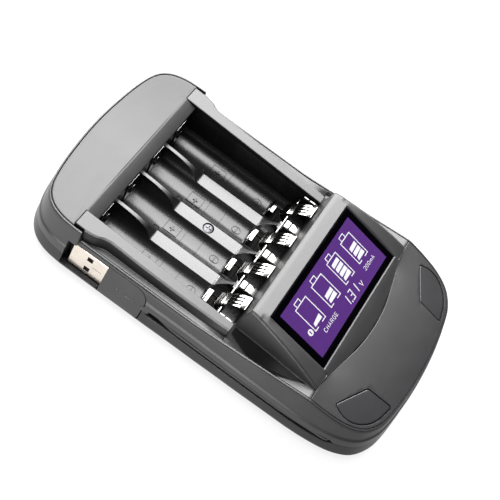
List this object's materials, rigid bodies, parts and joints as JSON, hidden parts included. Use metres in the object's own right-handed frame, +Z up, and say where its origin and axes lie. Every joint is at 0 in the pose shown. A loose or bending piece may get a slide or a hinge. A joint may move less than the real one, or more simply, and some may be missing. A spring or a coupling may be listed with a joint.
{
  "type": "battery charger",
  "caption": "Flat tabletop charger for round cells, with an open bay, a sloped display, front keys and a USB lead stored in its side.",
  "frame": {"origin": "middle of the face it rests on", "axes": "+X across the cells to the user's right, +Y to the back, away from the display and keys, +Z up"},
  "size_m": [0.0922, 0.1606, 0.0346],
  "materials": {
    "shell_top": "satin",
    "shell_side": "satin",
    "shell_dark": "satin",
    "tray_black": "satin",
    "screw_black": "satin",
    "window": "gloss",
    "lcd_glass": "gloss",
    "diffuser": "matte",
    "white_plastic": "satin",
    "board_green": "satin",
    "ribbon_amber": "satin",
    "switch_black": "matte",
    "plunger_red": "matte",
    "key_grey": "satin",
    "contact_nickel": "polished",
    "usb_steel": "polished",
    "gold_plate": "polished",
    "grip_grey": "satin",
    "lead_black": "satin",
    "rubber_black": "matte",
    "chip_black": "matte",
    "ferrite": "matte",
    "capacitor_can": "satin",
    "screw_zinc": "satin",
    "wire_red": "satin"
  },
  "bodies": {
    "case": {"base_shell": "shell_dark", "side_case": "shell_side", "rear_cover": "shell_top", "top_frame": "shell_top", "front_cover": "shell_top", "battery_tray": "tray_black", "tray_screw": "screw_black", "display_window": "window", "lcd_panel": "lcd_glass", "backlight": "diffuser", "lcd_holder": "white_plastic", "main_board": "board_green", "lcd_ribbon": "ribbon_amber", "switch_left": "switch_black", "switch_right": "switch_black", "positive_contact_1": "contact_nickel", "positive_contact_2": "contact_nickel", "positive_contact_3": "contact_nickel", "positive_contact_4": "contact_nickel", "contact_rail": "contact_nickel", "post_clips": "contact_nickel", "lead_root": "lead_black", "lead_bushing": "rubber_black", "control_chip": "chip_black", "inductors": "ferrite", "capacitors": "capacitor_can", "charge_transistors": "chip_black", "board_screws": "screw_zinc", "contact_wires": "wire_red", "rubber_feet": "rubber_black", "case_screws": "screw_black"},
    "key_left": {"button_left": "key_grey", "plunger_left": "plunger_red"},
    "key_right": {"button_right": "key_grey", "plunger_right": "plunger_red"},
    "lead": {"usb_lead": "lead_black", "usb_overmould": "grip_grey", "usb_shell": "usb_steel", "usb_insert": "white_plastic", "usb_pins": "gold_plate"},
    "aa_spring_1": {"aa_contact_1": "contact_nickel"},
    "aa_spring_2": {"aa_contact_2": "contact_nickel"},
    "aa_spring_3": {"aa_contact_3": "contact_nickel"},
    "aa_spring_4": {"aa_contact_4": "contact_nickel"},
    "aaa_spring_1": {"aaa_contact_1": "contact_nickel"},
    "aaa_spring_2": {"aaa_contact_2": "contact_nickel"},
    "aaa_spring_3": {"aaa_contact_3": "contact_nickel"},
    "aaa_spring_4": {"aaa_contact_4": "contact_nickel"}
  },
  "joints": [
    {"name": "key_left_press", "type": "slide", "parent": "case", "child": "key_left", "axis": [0, 0, -1], "range_m": [0, 0.0005], "stiffness_N_per_m": 800},
    {"name": "key_right_press", "type": "slide", "parent": "case", "child": "key_right", "axis": [0, 0, -1], "range_m": [0, 0.0005], "stiffness_N_per_m": 800},
    {"name": "usb_lead_swing", "type": "hinge", "parent": "case", "child": "lead", "pos_m": [-0.0424, -0.0575, 0.00905], "axis": [0, 0, 1], "range_deg": [0, 90]},
    {"name": "aa_spring_1_flex", "type": "hinge", "parent": "case", "child": "aa_spring_1", "pos_m": [-0.02475, -0.0009, 0.01662], "axis": [-1, 0, 0], "range_deg": [0, 8], "stiffness_Nm_per_rad": 0.05},
    {"name": "aa_spring_2_flex", "type": "hinge", "parent": "case", "child": "aa_spring_2", "pos_m": [-0.00825, -0.0009, 0.01662], "axis": [-1, 0, 0], "range_deg": [0, 8], "stiffness_Nm_per_rad": 0.05},
    {"name": "aa_spring_3_flex", "type": "hinge", "parent": "case", "child": "aa_spring_3", "pos_m": [0.00825, -0.0009, 0.01662], "axis": [-1, 0, 0], "range_deg": [0, 8], "stiffness_Nm_per_rad": 0.05},
    {"name": "aa_spring_4_flex", "type": "hinge", "parent": "case", "child": "aa_spring_4", "pos_m": [0.02475, -0.0009, 0.01662], "axis": [-1, 0, 0], "range_deg": [0, 8], "stiffness_Nm_per_rad": 0.05},
    {"name": "aaa_spring_1_fold", "type": "hinge", "parent": "case", "child": "aaa_spring_1", "pos_m": [-0.02475, 0.0071, 0.0063], "axis": [1, 0, 0], "range_deg": [0, 58], "stiffness_Nm_per_rad": 0.006},
    {"name": "aaa_spring_2_fold", "type": "hinge", "parent": "case", "child": "aaa_spring_2", "pos_m": [-0.00825, 0.0071, 0.0063], "axis": [1, 0, 0], "range_deg": [0, 58], "stiffness_Nm_per_rad": 0.006},
    {"name": "aaa_spring_3_fold", "type": "hinge", "parent": "case", "child": "aaa_spring_3", "pos_m": [0.00825, 0.0071, 0.0063], "axis": [1, 0, 0], "range_deg": [0, 58], "stiffness_Nm_per_rad": 0.006},
    {"name": "aaa_spring_4_fold", "type": "hinge", "parent": "case", "child": "aaa_spring_4", "pos_m": [0.02475, 0.0071, 0.0063], "axis": [1, 0, 0], "range_deg": [0, 58], "stiffness_Nm_per_rad": 0.006}
  ]
}
